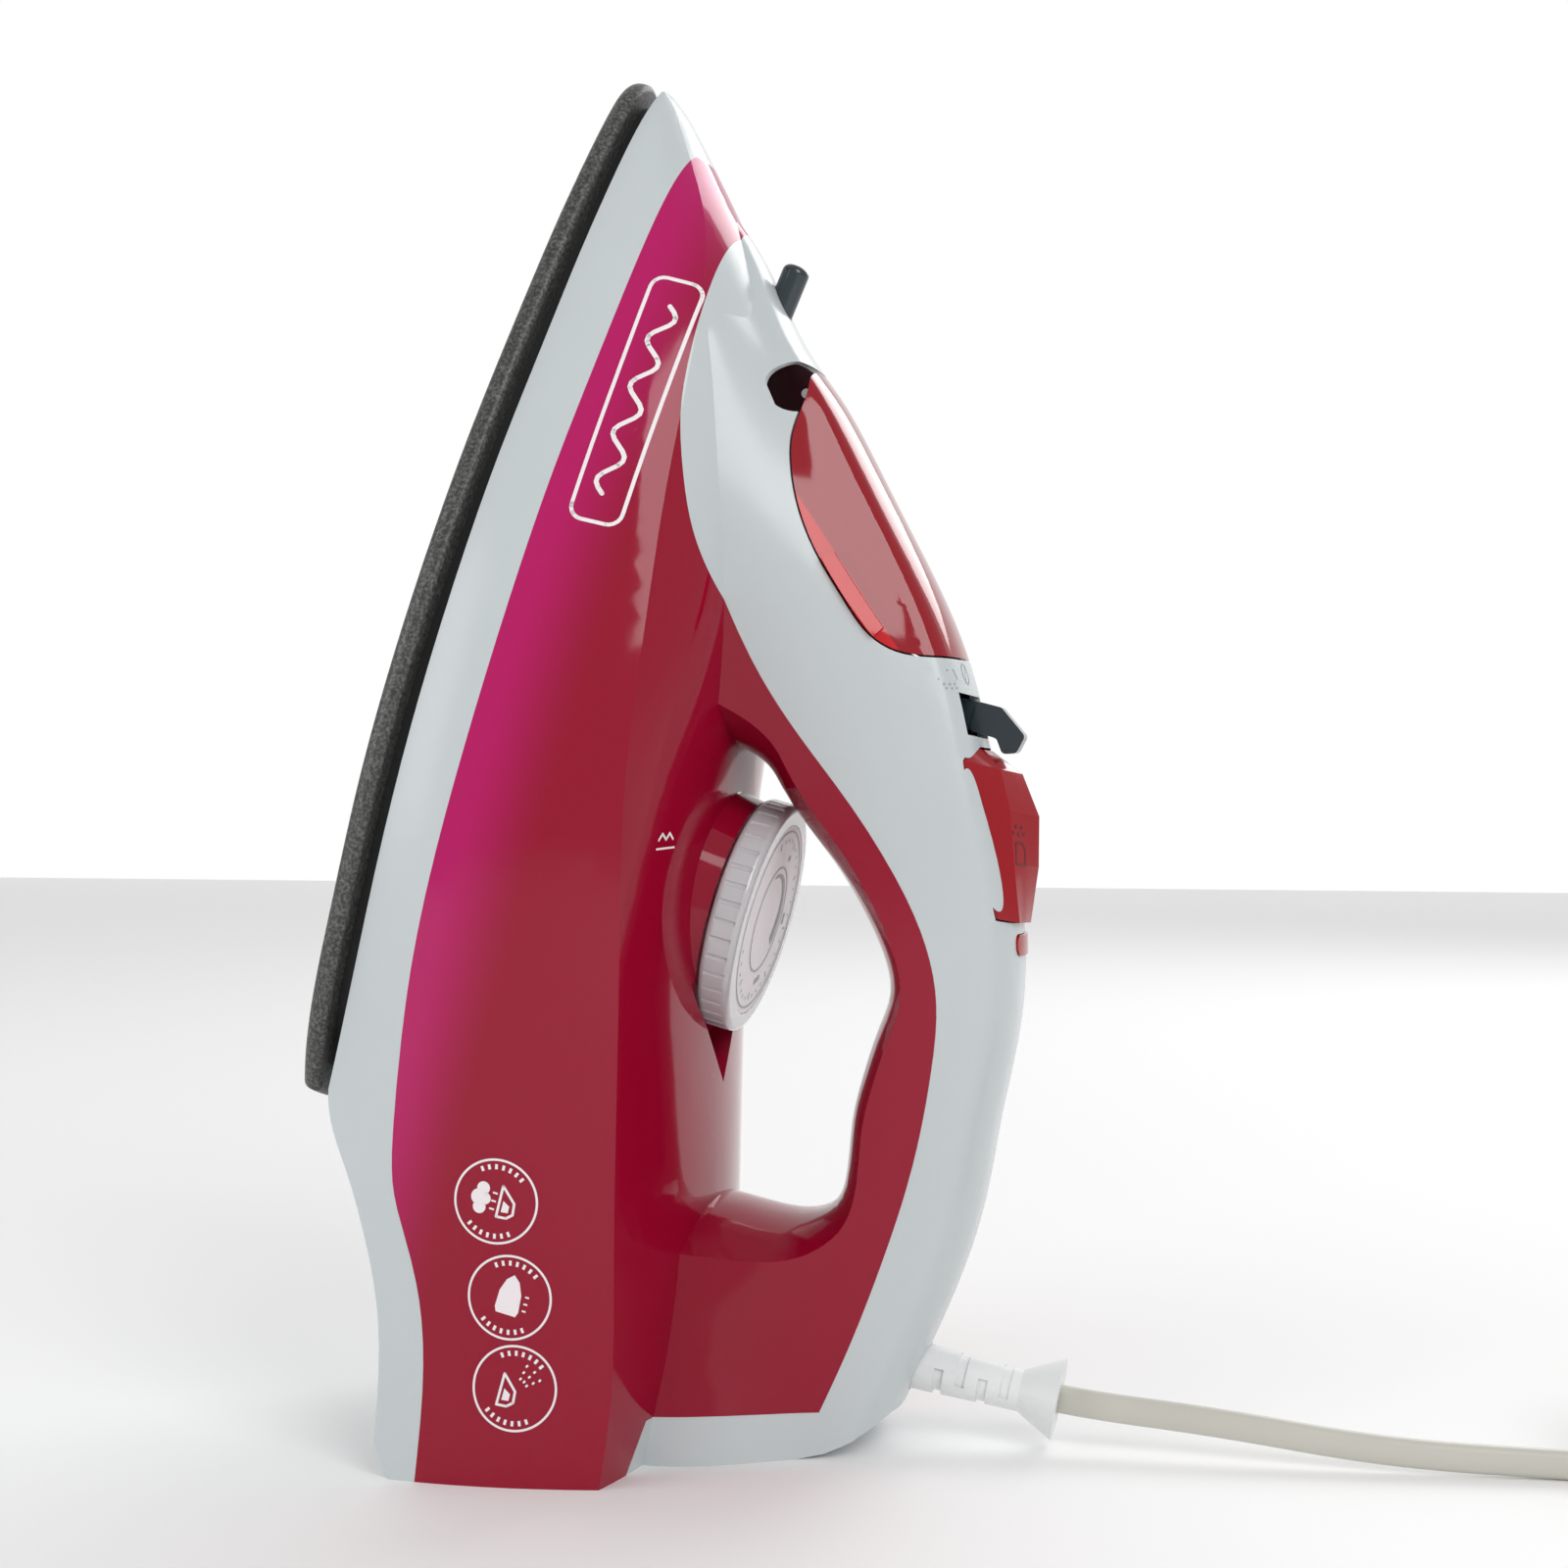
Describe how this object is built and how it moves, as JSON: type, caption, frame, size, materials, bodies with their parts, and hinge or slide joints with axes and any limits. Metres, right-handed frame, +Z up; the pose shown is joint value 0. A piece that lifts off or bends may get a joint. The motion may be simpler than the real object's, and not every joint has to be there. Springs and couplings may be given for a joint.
{
  "type": "steam clothes iron",
  "caption": "Hand-held steam iron on its heel: soleplate, clear water tank, handle with dial, steam lever, spray and burst buttons, filler door and cord.",
  "frame": {"origin": "centre of the iron, without its free cord, on the floor that its heel stands on", "axes": "+Z up, toward the nose; +X toward the handle and away from the sole; Y across the iron"},
  "size_m": [0.3403, 0.1104, 0.2848],
  "materials": {
    "screw_steel": "zinc-plated steel",
    "cover_steel": "pressed steel",
    "silicone": "red-brown silicone",
    "heat_collar": "black heat-proof plastic",
    "guard_plastic": "white flexible plastic",
    "cord_sleeve": "grey-beige satin flex",
    "tie_plastic": "white plastic tie",
    "disc_print": "white printed disc",
    "dial_plastic": "milky clear plastic",
    "deep_red_plastic": "glossy deep red plastic",
    "element_steel": "dull steel sheath",
    "lamp_glass": "small neon lamp",
    "lens_red": "clear red plastic",
    "wire_sleeve": "silicone-covered wire",
    "blade_brass": "plated brass",
    "white_plastic": "pale grey-white satin plastic",
    "cast_aluminium": "rough die-cast aluminium",
    "sole_coating": "speckled dark grey non-stick coating",
    "button_red": "glossy deep red plastic",
    "slate_plastic": "slate grey plastic",
    "tank_plastic": "clear magenta plastic",
    "tank_floor_plastic": "dark red plastic",
    "fuse_body": "glass-fibre sleeve",
    "thermostat_metal": "plated steel and ceramic",
    "valve_plastic": "natural nylon"
  },
  "bodies": {
    "iron": {"body_screws": "screw_steel", "burst_barrel": "valve_plastic", "burst_spring": "screw_steel", "chamber_cover": "cover_steel", "chamber_gasket": "silicone", "collar": "heat_collar", "cord_clamp": "white_plastic", "cord_coil": "cord_sleeve", "cord_lead": "cord_sleeve", "cord_tie": "tie_plastic", "door_pin": "screw_steel", "filler_chute": "tank_plastic", "handle_shell": "white_plastic", "heating_element": "element_steel", "indicator_lamp": "lamp_glass", "indicator_lens": "lens_red", "inner_wires": "wire_sleeve", "lever_pin": "screw_steel", "plug_blades": "blade_brass", "plug_body": "cord_sleeve", "rear_cover": "white_plastic", "skirt": "white_plastic", "sole_casting": "cast_aluminium", "soleplate": "sole_coating", "spray_barrel": "valve_plastic", "spray_nozzle": "slate_plastic", "spray_spring": "screw_steel", "tank_body": "tank_plastic", "tank_bulkhead": "tank_floor_plastic", "tank_deck": "tank_plastic", "tank_floor": "tank_floor_plastic", "tank_floor_seal": "silicone", "terminal_block": "valve_plastic", "thermal_fuse": "fuse_body", "thermostat": "thermostat_metal", "valve_seat": "silicone"},
    "dial": {"dial_knob": "dial_plastic", "dial_disc": "disc_print", "dial_shaft": "screw_steel"},
    "lever": {"steam_lever": "slate_plastic"},
    "valve": {"valve_needle": "valve_plastic"},
    "spray": {"spray_button": "button_red", "spray_piston": "valve_plastic"},
    "burst": {"burst_button": "button_red", "burst_piston": "valve_plastic"},
    "door": {"fill_door": "deep_red_plastic", "door_seal": "silicone"},
    "guard": {"cord_guard": "guard_plastic"}
  },
  "joints": [
    {"name": "dial_turn", "type": "hinge", "parent": "iron", "child": "dial", "pos_m": [0.00875, 0, 0.10835], "axis": [0.965, 0, -0.2622], "range_deg": [0, 270]},
    {"name": "door_open", "type": "hinge", "parent": "iron", "child": "door", "pos_m": [0.02143, 0, 0.21682], "axis": [0, -1, 0], "range_deg": [0, 62]},
    {"name": "lever_swing", "type": "hinge", "parent": "iron", "child": "lever", "pos_m": [0.04037, 0, 0.15416], "axis": [-0.2622, 0, -0.965], "range_deg": [0, 28]},
    {"name": "valve_lift", "type": "slide", "parent": "iron", "child": "valve", "axis": [0.965, 0, -0.2622], "range_m": [0, 0.003]},
    {"name": "spray_press", "type": "slide", "parent": "iron", "child": "spray", "axis": [-0.965, 0, 0.2622], "range_m": [0, 0.005], "stiffness_N_per_m": 350, "springref_m": -0.004, "deforming": ["spray_spring"]},
    {"name": "burst_press", "type": "slide", "parent": "iron", "child": "burst", "axis": [-0.965, 0, 0.2622], "range_m": [0, 0.005], "stiffness_N_per_m": 350, "springref_m": -0.004, "deforming": ["burst_spring"]},
    {"name": "guard_swivel", "type": "hinge", "parent": "iron", "child": "guard", "pos_m": [0.04069, 0, 0.01614], "axis": [0.9826, 0, -0.1857], "range_deg": [-60, 60]}
  ],
  "couplings": [
    {"joint": "valve_lift", "follows": "lever_swing", "m_per_rad": 0.006127}
  ]
}
